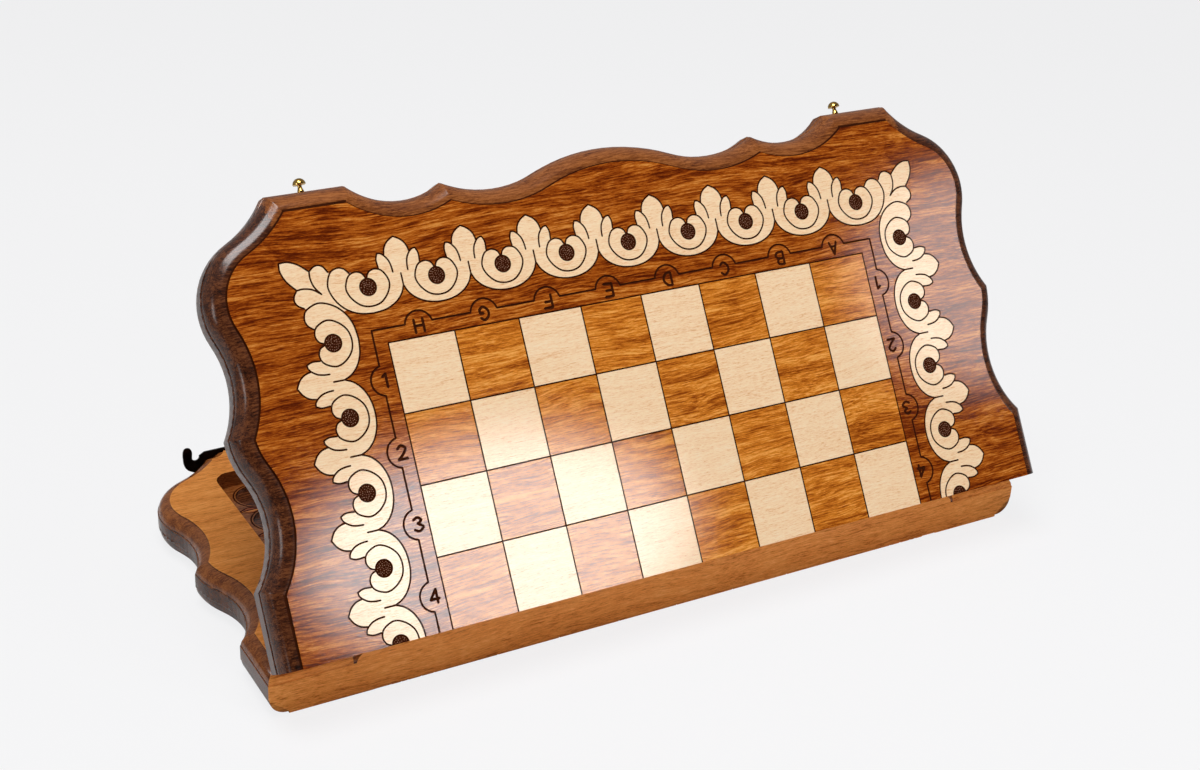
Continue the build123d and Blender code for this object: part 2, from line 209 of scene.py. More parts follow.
# ---- Field lines and labels, in squares ---------------------------------------------------------
FRAME_LINE = 4.2
LABEL_ROW = 4.155
LABEL_BAY = 0.209           # radius of the round bay of the frame line about a label
LABEL_BAY_SET_IN = 0.041
PAST_WALL = -0.1            # a line that runs out through the hinge wall starts here
LETTER = (0.066, 0.047)     # letter units: drawn 2 wide and 4 high
GLYPHS = {
    "A": [[(0, 0), (1, 4)], [(1, 4), (2, 0)], [(0.4, 1.4), (1.6, 1.4)]],
    "B": [[(0, 0), (0, 4)], [(0, 4), (1.3, 3.9), (1.7, 3.1), (1.2, 2.2), (0, 2.1)],
          [(0, 2.1), (1.4, 2), (2, 1.1), (1.4, 0.1), (0, 0)]],
    "C": [[(2, 3.2), (1.2, 4), (0.3, 3.2), (0, 2), (0.3, 0.8), (1.2, 0), (2, 0.8)]],
    "D": [[(0, 0), (0, 4)], [(0, 4), (1.2, 3.8), (2, 2), (1.2, 0.2), (0, 0)]],
    "E": [[(2, 4), (0, 4)], [(0, 4), (0, 0)], [(0, 0), (2, 0)], [(0, 2.1), (1.6, 2.1)]],
    "F": [[(2, 4), (0, 4)], [(0, 4), (0, 0)], [(0, 2.1), (1.6, 2.1)]],
    "G": [[(2, 3.2), (1.2, 4), (0.3, 3.2), (0, 2), (0.3, 0.8), (1.2, 0), (2, 0.8)],
          [(2, 0.6), (2, 1.9)], [(2, 1.9), (1.2, 1.9)]],
    "H": [[(0, 0), (0, 4)], [(2, 0), (2, 4)], [(0, 2), (2, 2)]],
    "1": [[(0.4, 3.2), (1.2, 4)], [(1.2, 4), (1.2, 0)]],
    "2": [[(0.1, 3.1), (1, 4), (1.9, 3), (1.2, 1.5), (0, 0)], [(0, 0), (2, 0)]],
    "3": [[(0.1, 3.4), (1, 4), (1.8, 3.1), (0.9, 2.2)], [(0.9, 2.2), (2, 1.1), (1, 0), (0, 0.6)]],
    "4": [[(1.5, 0), (1.5, 4)], [(1.5, 4), (0, 1.2)], [(0, 1.2), (2, 1.2)]],
    "5": [[(1.8, 4), (0.3, 4)], [(0.3, 4), (0.2, 2.3)],
          [(0.2, 2.3), (1.2, 2.5), (2, 1.3), (1, 0), (0, 0.5)]],
    "6": [[(1.7, 3.8), (0.5, 2.6), (0, 1.2), (1, 0), (2, 1.2), (1, 2.3), (0.1, 1.4)]],
    "7": [[(0, 4), (2, 4)], [(2, 4), (0.7, 0)]],
    "8": [[(1, 2.2), (0.2, 3.1), (1, 4), (1.8, 3.1), (1, 2.2), (0, 1.1), (1, 0), (2, 1.1),
           (1, 2.2)]],
}


def frame_side(bay, places, start, end):
    """Frame line from start to end along x, broken by a round bay at each place."""
    reach = bay[-1, 0]
    stops = [start, *[x + side * reach for x in places for side in (-1, 1)], end]
    straights = [np.array([(a, 0), (b, 0)]) for a, b in zip(stops[::2], stops[1::2])]
    return straights + [bay + (x, 0) for x in places]


def field_lines():
    """Lines of the field, and the frame line round it with a bay about each label."""
    lines = [flowing([(x, PAST_WALL), (x, 4)]) for x in range(-4, 5)]
    lines += [flowing([(-4, y), (4, y)]) for y in (1, 2, 3, 4)]
    spread = math.acos(LABEL_BAY_SET_IN / LABEL_BAY)
    angles = np.linspace(-spread, spread, 13)
    bay = LABEL_BAY * np.c_[np.sin(angles), np.cos(angles)] - (0, LABEL_BAY_SET_IN)
    far = frame_side(bay, [x + 0.5 for x in range(-4, 4)], -FRAME_LINE, FRAME_LINE)
    side = frame_side(bay, [y + 0.5 for y in range(4)], PAST_WALL, FRAME_LINE)
    left = [placed(part * SQUARE, -FRAME_LINE, 0, 1) for part in side]
    frame_line = [placed(part * SQUARE, 0, FRAME_LINE) for part in far]
    return lines, frame_line + left + [part * (-1, 1) for part in left]


def label(glyph, x, y, upside_down):
    """One letter or number centred on (x, y) squares."""
    lines = []
    for stroke in GLYPHS[glyph]:
        local = (np.array(stroke) - (1, 2)) * LETTER
        lines.append(flowing((-local if upside_down else local) + (x, y), step=LETTER_STEP))
    return lines


def labels(letters, numbers):
    """Letters along the far side, and numbers down both sides from the far side to the hinge."""
    lines = []
    for k, glyph in enumerate(letters):
        lines += label(glyph, k - 3.5, LABEL_ROW, True)
    for k, glyph in enumerate(numbers):
        lines += label(glyph, -LABEL_ROW, 3.5 - k, False)
        lines += label(glyph, LABEL_ROW, 3.5 - k, True)
    return lines


# ---- Cutting a pattern into the flat of a board -------------------------------------------------
def inside(points, edges):
    """Whether each point is inside the closed outlines made by the edges, by crossings."""
    (x0, y0), (x1, y1) = edges[:, 0].T, edges[:, 1].T
    within = ((points > edges.min((0, 1))) & (points < edges.max((0, 1)))).all(1)
    x, y = points[within, :1], points[within, 1:]
    crosses = (y0 > y) != (y1 > y)
    reach = (x1 - x0) * (y - y0) / np.where(y1 == y0, 1, y1 - y0) + x0
    within[within] = (crosses & (x < reach)).sum(1) % 2 == 1
    return within


def closed_edges(outline):
    return np.stack([outline, np.roll(outline, -1, axis=0)], axis=1)


def nearness(points, cuts):
    """How deep each point is in the carved lines: 1 on a line, 0 at the edge of its groove."""
    best = np.zeros(len(points))
    for line, half in cuts:
        low, high = line.min(0) - half, line.max(0) + half
        near = np.flatnonzero(((points > low) & (points < high)).all(1))
        if not len(near):
            continue
        p = points[near]
        a, span = line[:-1], np.diff(line, axis=0)
        along = ((p[:, None] - a) * span).sum(2) / np.maximum((span ** 2).sum(1), 1e-9)
        gap = p[:, None] - a - np.clip(along, 0, 1)[..., None] * span
        best[near] = np.maximum(best[near], 1 - np.sqrt((gap ** 2).sum(2)).min(1) / half)
    return best


def groove_lines(line, half):
    """A groove's bottom line, and its two edges, brought to a point past each open end."""
    run = np.gradient(line, axis=0)
    run /= np.maximum(np.linalg.norm(run, axis=1), 1e-9)[:, None]
    across = half * np.c_[-run[:, 1], run[:, 0]]
    if np.allclose(line[0], line[-1]):
        return line, line + across, line - across
    start, end = line[:1] - half * run[:1], line[-1:] + half * run[-1:]
    outline = [start, line + across, end, (line - across)[::-1], start]
    return np.vstack([start, line, end]), np.vstack(outline)


def carve(bm, cuts, pits, finish):
    """Cuts lines and sunk pits into the flat at z = 0.

    The flat is taken off the solid and laid again as triangles that follow every line.
    finish(middles, nearness) gives the material number of each triangle."""
    flat = [f for f in bm.faces if all(abs(v.co.z) < 2 * TOUCH for v in f.verts)]
    bmesh.ops.delete(bm, geom=flat, context="FACES")
    rim = [e for e in bm.edges if e.is_boundary]
    corners = list({v for e in rim for v in e.verts})
    number = {v: k for k, v in enumerate(corners)}
    points = [v.co.xy for v in corners]
    edges = [(number[e.verts[0]], number[e.verts[1]]) for e in rim]
    outline = np.array([[points[a], points[b]] for a, b in edges])
    for line, half in cuts:
        for part in groove_lines(line, half):
            edges += [(len(points) + k, len(points) + k + 1) for k in range(len(part) - 1)]
            points += [Vector(p) for p in part]
    made, _, triangles, *_ = delaunay_2d_cdt(points, edges, [], 0, 1e-4)
    made = np.array(made)
    triangles = np.array(triangles)
    middles = made[triangles].mean(1)
    keep = inside(middles, outline)
    triangles, middles = triangles[keep], middles[keep]
    depth = np.maximum(nearness(made, cuts) - GROOVE_LIP, 0) * GROOVE_DEPTH
    for centre, radius, sunk in pits:
        depth[np.hypot(*(made - centre).T) < radius] = sunk
    on_wall = np.flatnonzero(np.abs(made[:, 1] - HINGE_WALL) < TOUCH)
    for k in on_wall[np.argsort(made[on_wall, 0])]:
        split_wall(bm, made[k], depth[k])
    verts = {k: bm.verts.new((*made[k], -depth[k])) for k in np.unique(triangles)}
    for triangle, kind in zip(triangles, finish(middles, nearness(middles, cuts))):
        face = bm.faces.new([verts[k] for k in triangle])
        face.material_index = int(kind)
    bmesh.ops.remove_doubles(bm, verts=bm.verts[:], dist=2 * TOUCH)


def split_wall(bm, place, sunk):
    """Adds the mouth of a groove to the edge between the flat and the plain hinge wall."""
    for edge in [e for e in bm.edges if e.is_boundary]:
        a, b = (v.co for v in edge.verts)
        if max(abs(a.y - HINGE_WALL), abs(b.y - HINGE_WALL)) > TOUCH:
            continue
        share = (place[0] - a.x) / (b.x - a.x) if abs(b.x - a.x) > 1e-6 else 0
        if 1e-6 < share < 1 - 1e-6:
            _, vert = bmesh.utils.edge_split(edge, edge.verts[0], share)
            vert.co = (*place, -sunk)
            return


# ---- Wooden pieces ------------------------------------------------------------------------------
# The darkest edge finish is painted shade on the mouldings, and the rim finish is also painted
# light on the far-side moulding
STAINED, GOLDEN, BARE, DARK_CUT_AND_SHADE, PUNCHED, SHADED_EDGE, PLAIN, RIM_BAND_AND_PAINTED_LIGHT = range(8)
CREASE = math.radians(28)   # edges that turn more than this stay sharp


def new_piece(name, bm):
    mesh = bpy.data.meshes.new(name)
    bm.to_mesh(mesh)
    bm.free()
    piece = bpy.data.objects.new(name, mesh)
    bpy.context.scene.collection.objects.link(piece)
    return piece


def settle(piece, modifier):
    """Makes what the modifier gives the piece's own plain mesh."""
    evaluated = piece.evaluated_get(bpy.context.evaluated_depsgraph_get())
    piece.data = bpy.data.meshes.new_from_object(evaluated)
    piece.modifiers.remove(modifier)


def wooden(node, name, to_face, rule, work=None):
    """A piece from a CAD solid: its faces given finishes by rule, and its flat carved by work."""
    bm = bmesh.new()
    bm.from_mesh(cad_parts[node].data)
    bmesh.ops.remove_doubles(bm, verts=bm.verts[:], dist=1e-6)
    bm.transform(to_face @ Matrix.Scale(1000, 4))
    bm.normal_update()
    for face in bm.faces:
        face.material_index = rule(face)
        face.smooth = True
    if work:
        work(bm)
    bmesh.ops.recalc_face_normals(bm, faces=bm.faces[:])
    bm.transform(Matrix.Scale(MM, 4) @ to_face.inverted())
    rounded = [face.smooth for face in bm.faces]
    piece = new_piece(name, bm)
    piece.data.set_sharp_from_angle(angle=CREASE)
    piece.data.polygons.foreach_set("use_smooth", rounded)
    evened = piece.modifiers.new("evened", "WEIGHTED_NORMAL")
    evened.mode = "FACE_AREA_WITH_ANGLE"
    evened.keep_sharp = True
    settle(piece, evened)
    return piece


def edge_rule(face):
    """Finish of a face of a board or rim that isn't carved.

    The moulding is painted darkest down the short sides of the chess face, as painted shade where
    they face away from the light, and lighter along the far side, as painted light where it faces
    the light. The hinge wall and the rim's flat are plain, and so is the moulding's return along
    the wall, up to the scoop at its end, which is painted dark as shade."""
    middle = face.calc_center_median()
    on_tray_side = middle.z < -RIM_FOOT
    on_far_side = middle.y > FAR_SIDE and abs(middle.x) < FAR_CORNER_X
    on_wall = all(abs(v.co.y - HINGE_WALL) < TOUCH for v in face.verts)
    on_rim = all(v.co.z < SLACK - HALF_HEIGHT for v in face.verts)
    in_return = middle.y < RIM_INSET and SCOOP_X < abs(middle.x) < RETURN_X and on_tray_side
    if on_wall or on_rim or in_return:
        return PLAIN
    # The quirk step and its ledge round the chess face take the dark groove finish: painted shade
    # of that small step
    if all(v.co.z > -SLACK - FACE_QUIRK for v in face.verts):
        return DARK_CUT_AND_SHADE
    # Painted light and shade of one stain: the far-side moulding gets the rim finish as painted
    # light, the short sides the darkest finish as painted shade. The rim side's rounded faces also
    # take the rim finish.
    upright = abs(face.normal.z) <= 0.1
    return RIM_BAND_AND_PAINTED_LIGHT if on_far_side or (on_tray_side and not upright) else SHADED_EDGE


def board_work(letters, numbers):
    """Carves a chess face: the border, the field and its frame line, the labels and the dots."""
    lines, fills, dots = ornament()
    fills = [closed_edges(fill) for fill in fills]
    dots = np.array(dots) * SQUARE
    radius = DOT_RADIUS * SQUARE
    cuts = [(line, GROOVE) for line in lines]
    field, frame_line = field_lines()
    cuts += [(line, FIELD_GROOVE) for line in field]
    cuts += [(line, FRAME_GROOVE) for line in frame_line]
    cuts += [(line, LETTER_GROOVE) for line in labels(letters, numbers)]

    def finish(middles, near):
        kinds = np.full(len(middles), STAINED)
        for fill in fills:
            kinds[inside(middles, fill)] = BARE
        column, row = np.floor(middles / SQUARE).astype(int).T
        square = (column >= -4) & (column < 4) & (row >= 0) & (row < 4)
        kinds[square] = np.where((column + row) % 2 == 1, BARE, GOLDEN)[square]
        for dot in dots:
            kinds[np.hypot(*(middles - dot).T) < radius] = DARK_CUT_AND_SHADE
        kinds[near > STAIN_LIP] = DARK_CUT_AND_SHADE
        return kinds

    return lambda bm: carve(bm, cuts, [(dot, radius - DOT_WALL, DOT_DEPTH) for dot in dots], finish)


# Tray floor, in millimetres: pointed leaves for the backgammon points, and by each short side a
# dark stained band in which a ring stands round each seat, with buds between the rings
SEAT_ROWS, SEAT_PITCH, SEAT_X, TRAY_MIDDLE = 6, 37.6, 219.0, 143.5
SEATS = [(side * SEAT_X, TRAY_MIDDLE + (row - (SEAT_ROWS - 1) / 2) * SEAT_PITCH)
         for side in (-1, 1) for row in range(SEAT_ROWS)]
SEAT_LINE = 17.6            # ring round a seat
BAND_X = 198.0              # inner edge of the band
BAND_ENDS = (29.5, 257.5)
POINT = [(22, 15.5), (50, 13.5), (90, 8), (132, 0)]
POINT_VEIN = [(27, 0), (70, 1.2), (114, 0)]
SEAT_BUD = [(20.5, 18.8), (14.8, 15.4), (10.2, 15.2), (3.2, 18.8), (10.2, 22.4), (14.8, 22.2),
            (20.5, 18.8)]
SEAT_VEIN = [(17.5, 18.8), (11, 18.4), (6, 18.8)]


def tray_work():
    """Carves the band, rings, buds and pointed leaves, all turned to the middle of the tray."""
    lines, points, buds = [], [], []
    flip = np.array([1, -1])
    for x, y in SEATS:
        inward = np.array([-1 if x > 0 else 1, 1])
        place = np.array([x, y])
        half = flowing(POINT, unit=1)
        points.append(np.vstack([half, (half * flip)[::-1]]) * inward + place)
        bud, vein = flowing(SEAT_BUD, unit=1), flowing(SEAT_VEIN, unit=1)
        buds += [bud * turn + place for turn in (inward, -inward)]
        parts = [half * inward, half * flip * inward, flowing(POINT_VEIN, unit=1) * inward]
        parts += [part * turn for part in (bud, vein) for turn in (inward, -inward)]
        lines += [part + place for part in parts] + [ring((x, y), SEAT_LINE, unit=1)]
    lines += [np.array([(side * BAND_X, y) for y in BAND_ENDS]) for side in (-1, 1)]

    def finish(middles, near):
        kinds = np.where(np.abs(middles[:, 0]) > BAND_X, RIM_BAND_AND_PAINTED_LIGHT, PLAIN)
        for k, point in enumerate(points):
            leaf = inside(middles, closed_edges(point)) & (kinds == PLAIN)
            kinds[leaf] = BARE if k % 2 else STAINED
        for bud in buds:
            kinds[inside(middles, closed_edges(bud))] = STAINED
        kinds[near > STAIN_LIP] = DARK_CUT_AND_SHADE
        return kinds

    return lambda bm: carve(bm, [(line, GROOVE) for line in lines], [], finish)


# ---- Finishes -----------------------------------------------------------------------------------
def paint(hexed):
    """sRGB hex to linear colour."""
    parts = [int(hexed[k:k + 2], 16) / 255 for k in (1, 3, 5)]
    return (*[p / 12.92 if p <= 0.04045 else ((p + 0.055) / 1.055) ** 2.4 for p in parts], 1)


def add(tree, kind, links=(), stops=(), **settings):
    """Adds a node with its settings, its input values and links by input name, and where it is
    a colour ramp, its stops: pairs of place and sRGB hex."""
    made = tree.nodes.new(kind)
    for key, value in settings.items():
        setattr(made, key, value)
    for key, value in dict(links).items():
        if isinstance(value, bpy.types.NodeSocket):
            tree.links.new(value, made.inputs[key])
        else:
            made.inputs[key].default_value = value
    if stops:
        elements = made.color_ramp.elements
        while len(elements) < len(stops):
            elements.new(0.5)
        for element, (place, colour) in zip(elements, stops):
            element.position = place
            element.color = paint(colour)
    return made


def surface(name, **values):
    """New material, its node tree and its shader, with plain values on the shader's sockets."""
    material = bpy.data.materials.new(name)
    material.use_nodes = True
    tree = material.node_tree
    shader = tree.nodes["Principled BSDF"]
    for key, value in values.items():
        shader.inputs[key.replace("_", " ")].default_value = value
    return material, tree, shader


# Sizes of the grain of beech in millimetres, along it and across it. Real fibres are finer than
# 0.1 mm, so they are drawn as coarse as they need to be to show.
SWAY_SIZE, SWAY = (166.67, 83.333), 22.0    # slow bend of the whole grain, and how far it goes
FIGURE_SIZE = (100, 7.6923)                 # broad light and dark bands
DASH_SIZE = (20, 1.17647)                   # short dark dashes, the mark of beech
FIBRE_SIZE = (8.3333, 0.5)
PORE_SIZE = (3.5714, 0.66667)
RING_PITCH = 13.08997                       # growth rings where the saw cut them
FILM_SIZE = 1.11111                         # orange peel of the sprayed lacquer
FILM_DEPTH = 0.03
# Shares of the pores among the fibres and of the rings among the bands, the values of the dash
# noise where the wood is darkest and lightest, and how much darker it is there
PORE_SHARE, RING_SHARE = 0.6, 0.1
DASH_NOISE, DASH_TONE = (0.30, 0.62), (0.26, -0.12)


def cells(size):
    """Scale of a noise whose cells are this long along the grain and this wide across it."""
    return (1 / size[0], 1 / size[1], 1 / size[1])


def beech(name, opened, tones, streaks, gloss, relief=0.04):
    """Beech with its grain along the hinge, under a coat of lacquer.

    tones: stops from the dark to the light grain. streaks: how strongly the bands show against
    the fine fibres. gloss: roughness of the wood, then weight and roughness of the lacquer.
    relief: height of the fibres in millimetres."""
    rough, coat, coat_rough = gloss
    material, tree, shader = surface(name, Roughness=rough, Coat_Weight=coat,
                                     Coat_Roughness=coat_rough, Specular_IOR_Level=0.0)
    place = add(tree, "ShaderNodeTexCoord").outputs["Object"]
    plank = add(tree, "ShaderNodeMapping",
                {"Vector": place, "Rotation": (-OPEN if opened else 0, 0, 0),
                 "Scale": (1000, 1000, 1000)}).outputs["Vector"]

    slow = add(tree, "ShaderNodeMapping", {"Vector": plank, "Scale": cells(SWAY_SIZE)})
    sway = add(tree, "ShaderNodeTexNoise", {"Vector": slow.outputs[0], "Scale": 1.0, "Detail": 3.0})
    bend = add(tree, "ShaderNodeVectorMath",
               {0: sway.outputs["Color"], 1: (0.0, SWAY, SWAY), 2: plank},
               operation="MULTIPLY_ADD").outputs[0]

    # The rings are ten times as long as wide. A wave texture draws one in every pi / 10 units.
    drawn = add(tree, "ShaderNodeMapping", {"Vector": bend, "Scale": (0.10, 1.0, 0.4)})
    rings = add(tree, "ShaderNodeTexWave",
                {"Vector": drawn.outputs[0], "Scale": math.pi / 10 / RING_PITCH, "Distortion": 7.0,
                 "Detail": 5.0, "Detail Scale": 2.4, "Detail Roughness": 0.7},
                bands_direction="Y", wave_profile="SIN")
    long = add(tree, "ShaderNodeMapping", {"Vector": bend, "Scale": cells(FIGURE_SIZE)})
    figure = add(tree, "ShaderNodeTexNoise",
                 {"Vector": long.outputs[0], "Scale": 1.0, "Detail": 6.0, "Roughness": 0.72})
    thin = add(tree, "ShaderNodeMapping", {"Vector": bend, "Scale": cells(FIBRE_SIZE)})
    fibre = add(tree, "ShaderNodeTexNoise",
                {"Vector": thin.outputs[0], "Scale": 1.0, "Detail": 2.0})
    pore = add(tree, "ShaderNodeMapping", {"Vector": plank, "Scale": cells(PORE_SIZE)})
    fleck = add(tree, "ShaderNodeTexNoise",
                {"Vector": pore.outputs[0], "Scale": 1.0, "Detail": 3.0, "Roughness": 0.85})
    dash = add(tree, "ShaderNodeMapping", {"Vector": bend, "Scale": cells(DASH_SIZE)})
    dashes = add(tree, "ShaderNodeTexNoise",
                 {"Vector": dash.outputs[0], "Scale": 1.0, "Detail": 3.0, "Roughness": 0.65})

    fine = add(tree, "ShaderNodeMix",
               {"Factor": PORE_SHARE, "A": fibre.outputs["Fac"], "B": fleck.outputs["Fac"]})
    broad = add(tree, "ShaderNodeMix",
                {"Factor": RING_SHARE, "A": figure.outputs["Fac"], "B": rings.outputs["Fac"]})
    both = add(tree, "ShaderNodeMix",
               {"Factor": streaks, "A": fine.outputs["Result"], "B": broad.outputs["Result"]})
    drop = add(tree, "ShaderNodeMapRange",
               {"Value": dashes.outputs["Fac"],
                "From Min": DASH_NOISE[0], "From Max": DASH_NOISE[1],
                "To Min": DASH_TONE[0] * streaks, "To Max": DASH_TONE[1] * streaks})
    tone = add(tree, "ShaderNodeMath", {0: both.outputs["Result"], 1: drop.outputs[0]},
               operation="SUBTRACT")
    colour = add(tree, "ShaderNodeValToRGB", {"Fac": tone.outputs[0]}, stops=tones)
    tree.links.new(colour.outputs["Color"], shader.inputs["Base Color"])

    bump = add(tree, "ShaderNodeBump",
               {"Height": fine.outputs["Result"], "Distance": relief * MM, "Strength": 1.0})
    tree.links.new(bump.outputs["Normal"], shader.inputs["Normal"])
    film = add(tree, "ShaderNodeTexNoise",
               {"Vector": plank, "Scale": 1 / FILM_SIZE, "Detail": 2.0, "Roughness": 0.6})
    peel = add(tree, "ShaderNodeBump",
               {"Height": film.outputs["Fac"], "Distance": FILM_DEPTH * MM, "Strength": 1.0})
    tree.links.new(peel.outputs["Normal"], shader.inputs["Coat Normal"])
    return material


def woods(opened):
    """The finishes of one half, in the order of the face numbers."""
    half = "upper" if opened else "lower"
    stained = [(0.36, "#541B05"), (0.43, "#7C3209"), (0.50, "#A04E12"), (0.56, "#BC671E"),
               (0.64, "#D88E40")]
    golden = [(0.36, "#823A0C"), (0.43, "#B46018"), (0.52, "#DA842A"), (0.62, "#F4AC56")]
    bare = [(0.36, "#E2A46C"), (0.42, "#F6CA9E"), (0.52, "#FFDEB4"), (0.62, "#FFE6C6")]
    edge = [(0.36, "#20100A"), (0.47, "#462212"), (0.58, "#704024")]
    moulded = [(0.36, "#4A2210"), (0.47, "#80461F"), (0.60, "#A86634")]
    plain = [(0.36, "#A65A24"), (0.46, "#D88840"), (0.54, "#E6984C"), (0.64, "#F4AC64")]
    dark_cut_and_shade_tones = [(0.3, "#240E06"), (0.7, "#4E2410")]
    punched = [(0.40, "#704230"), (0.5, "#9A6A54"), (0.60, "#C0947E")]
    lacquer = (0.5, 1.0, 0.07)
    return [
        # Beech stained red brown and varnished: dark fibres show through a clear, wet-looking gloss
        beech(f"stained_lacquered_beech_{half}", opened, stained, 0.55, lacquer),
        # Thinner golden stain under the same varnish: warmer and calmer than the ground round it
        beech(f"golden_lacquered_beech_{half}", opened, golden, 0.5, lacquer),
        # Bare beech under varnish: cream, almost even, with short tan flecks along the grain
        beech(f"bare_lacquered_beech_{half}", opened, bare, 0.2, lacquer, relief=0.02),
        # Cut and darkened bottom of a groove: matt dark brown that draws every outline. Round the
        # chess
        #         # face it also paints the shade of the quirk step.
        beech(f"dark_cut_and_painted_shade_{half}", opened, dark_cut_and_shade_tones, 0.2, (0.8, 0.0, 0.3)),
        # Ground struck with a punch: matt, a shade lighter than the hollows between its grains
        beech(f"punched_dark_beech_{half}", opened, punched, 0.0, (0.7, 0.15, 0.4), relief=0.3),
        # Moulded edge with its stain drawn near-black brown as painted shade, where the edge faces
        # away
        #         # from the light, with soft long reflections. It also paints the scoop's shade,
        #         and covers every
        #         # uncarved face of a tray floor.
        beech(f"painted_shade_moulded_beech_{half}", opened, edge, 0.4, (0.5, 1.0, 0.2), relief=0.012),
        # Planed beech with a light oil: orange brown and dull, the fine grain easy to see
        beech(f"oiled_plain_beech_{half}", opened, plain, 0.35, (0.5, 0.25, 0.3)),
        # Rim moulding and seat band: middle red-brown stain, a silky gloss on the rounded edge. On
        # the
        #         # far side of the chess face it is painted light: the moulding's stain drawn
        #         lighter there.
        beech(f"rim_band_and_painted_light_moulding_{half}", opened, moulded, 0.35, (0.5, 0.9, 0.2), relief=0.012),
    ]


FINISHES = {"upper": woods(True), "lower": woods(False)}


# ---- Punched grains -----------------------------------------------------------------------------
def grain_tree():
    """Small round grains laid over the faces that are given, no two nearer than the spacing."""
    tree = bpy.data.node_groups.new("punched_grains", "GeometryNodeTree")
    for name, kind in (("Geometry", "Geometry"), ("Spacing", "Float"), ("Grain", "Float"),
                       ("Seed", "Int"), ("Finish", "Material")):
        tree.interface.new_socket(name, in_out="INPUT", socket_type="NodeSocket" + kind)
    tree.interface.new_socket("Geometry", in_out="OUTPUT", socket_type="NodeSocketGeometry")
    given = add(tree, "NodeGroupInput").outputs
    # The density is far above what the spacing lets stand
    spread = add(tree, "GeometryNodeDistributePointsOnFaces",
                 {"Mesh": given["Geometry"], "Distance Min": given["Spacing"],
                  "Density Max": 6e6, "Seed": given["Seed"]}, distribute_method="POISSON")
    ball = add(tree, "GeometryNodeMeshIcoSphere", {"Radius": given["Grain"], "Subdivisions": 1})
    size = add(tree, "FunctionNodeRandomValue",
               {2: GRAIN_SIZES[0], 3: GRAIN_SIZES[1], "Seed": given["Seed"]}, data_type="FLOAT")
    laid = add(tree, "GeometryNodeInstanceOnPoints",
               {"Points": spread.outputs["Points"], "Instance": ball.outputs["Mesh"],
                "Scale": size.outputs[1]})
    real = add(tree, "GeometryNodeRealizeInstances", {"Geometry": laid.outputs["Instances"]})
    dressed = add(tree, "GeometryNodeSetMaterial",
                  {"Geometry": real.outputs["Geometry"], "Material": given["Finish"]})
    add(tree, "NodeGroupOutput", {"Geometry": dressed.outputs["Geometry"]})
    return tree


GRAINS = grain_tree()


def punched_grains(half, to_face, seed):
    """Grains that the punch leaves standing on the sunk ground of every dot of a board."""
    bm = bmesh.new()
    for x, y in np.array(ornament()[2]) * SQUARE:
        bmesh.ops.create_circle(bm, cap_ends=True, segments=24,
                                radius=DOT_RADIUS * SQUARE - GRAIN_MARGIN,
                                matrix=Matrix.Translation((x, y, -DOT_DEPTH)))
    bmesh.ops.bisect_plane(bm, geom=bm.verts[:] + bm.edges[:] + bm.faces[:],
                           plane_co=(0, HINGE_WALL + GRAIN_WALL, 0), plane_no=(0, -1, 0),
                           clear_outer=True)
    bm.transform(Matrix.Scale(MM, 4) @ to_face.inverted())
    piece = new_piece(half + "_punched_grains", bm)
    laying = piece.modifiers.new("grains", "NODES")
    laying.node_group = GRAINS
    values = {"Spacing": GRAIN_SPACING * MM, "Grain": GRAIN_RADIUS * MM, "Seed": seed,
              "Finish": FINISHES[half][PUNCHED]}
    for socket in GRAINS.interface.items_tree:
        if socket.in_out == "INPUT" and socket.name in values:
            laying[socket.identifier] = values[socket.name]
    settle(piece, laying)
    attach(piece, half + "_half")


# ---- The wooden pieces of both halves -----------------------------------------------------------
def finished(piece, half, slot, *nodes):
    """Gives a wooden piece the finishes of its half and its body, and hides the CAD parts that it
    takes the place of. The slot is not used.
    """
    for material in FINISHES[half]:
        piece.data.materials.append(material)
    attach(piece, half + "_half")
    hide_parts(*nodes)


for half, letters, numbers in (("upper", "HGFEDCBA", "1234"), ("lower", "ABCDEFGH", "8765")):
    chess_face, tray_face = FACES[half + "_board"], FACES[half + "_tray_floor"]
    carved = wooden(half + "_board", half + "_carved_board", chess_face, edge_rule,
                    board_work(letters, numbers))
    finished(carved, half, "stained_beech", half + "_board")
    punched_grains(half, chess_face, seed=7)
    rim = wooden(half + "_rim_frame", half + "_moulded_rim", chess_face, edge_rule)
    finished(rim, half, "rim_beech", half + "_rim_frame")
    # Every uncarved face of a tray floor, its seat pockets among them, takes the darkest edge
    # finish
    tray = wooden(half + "_tray_floor", half + "_carved_tray", tray_face, lambda face: SHADED_EDGE,
                  tray_work())
    finished(tray, half, "carved_beech", half + "_tray_floor")


# ---- Camera -------------------------------------------------------------------------------------
camera = bpy.data.objects.new("camera", bpy.data.cameras.new("camera"))
bpy.context.scene.collection.objects.link(camera)
camera.data.lens = 57.0
camera.data.sensor_width = 36.0
camera.location = (-0.62395, -0.93923, 0.71816)
look = Vector((0.45644, 0.77401, -0.43883)).to_track_quat("-Z", "Y")
camera.rotation_mode = "QUATERNION"
camera.rotation_quaternion = look @ Quaternion((0, 0, 1), math.radians(2.526))
bpy.context.scene.camera = camera
bpy.context.scene.view_settings.view_transform = "Standard"


# ---- Metal --------------------------------------------------------------------------------------
CLOUD_SIZE = 7.142857       # slow change of colour over a metal part, in millimetres


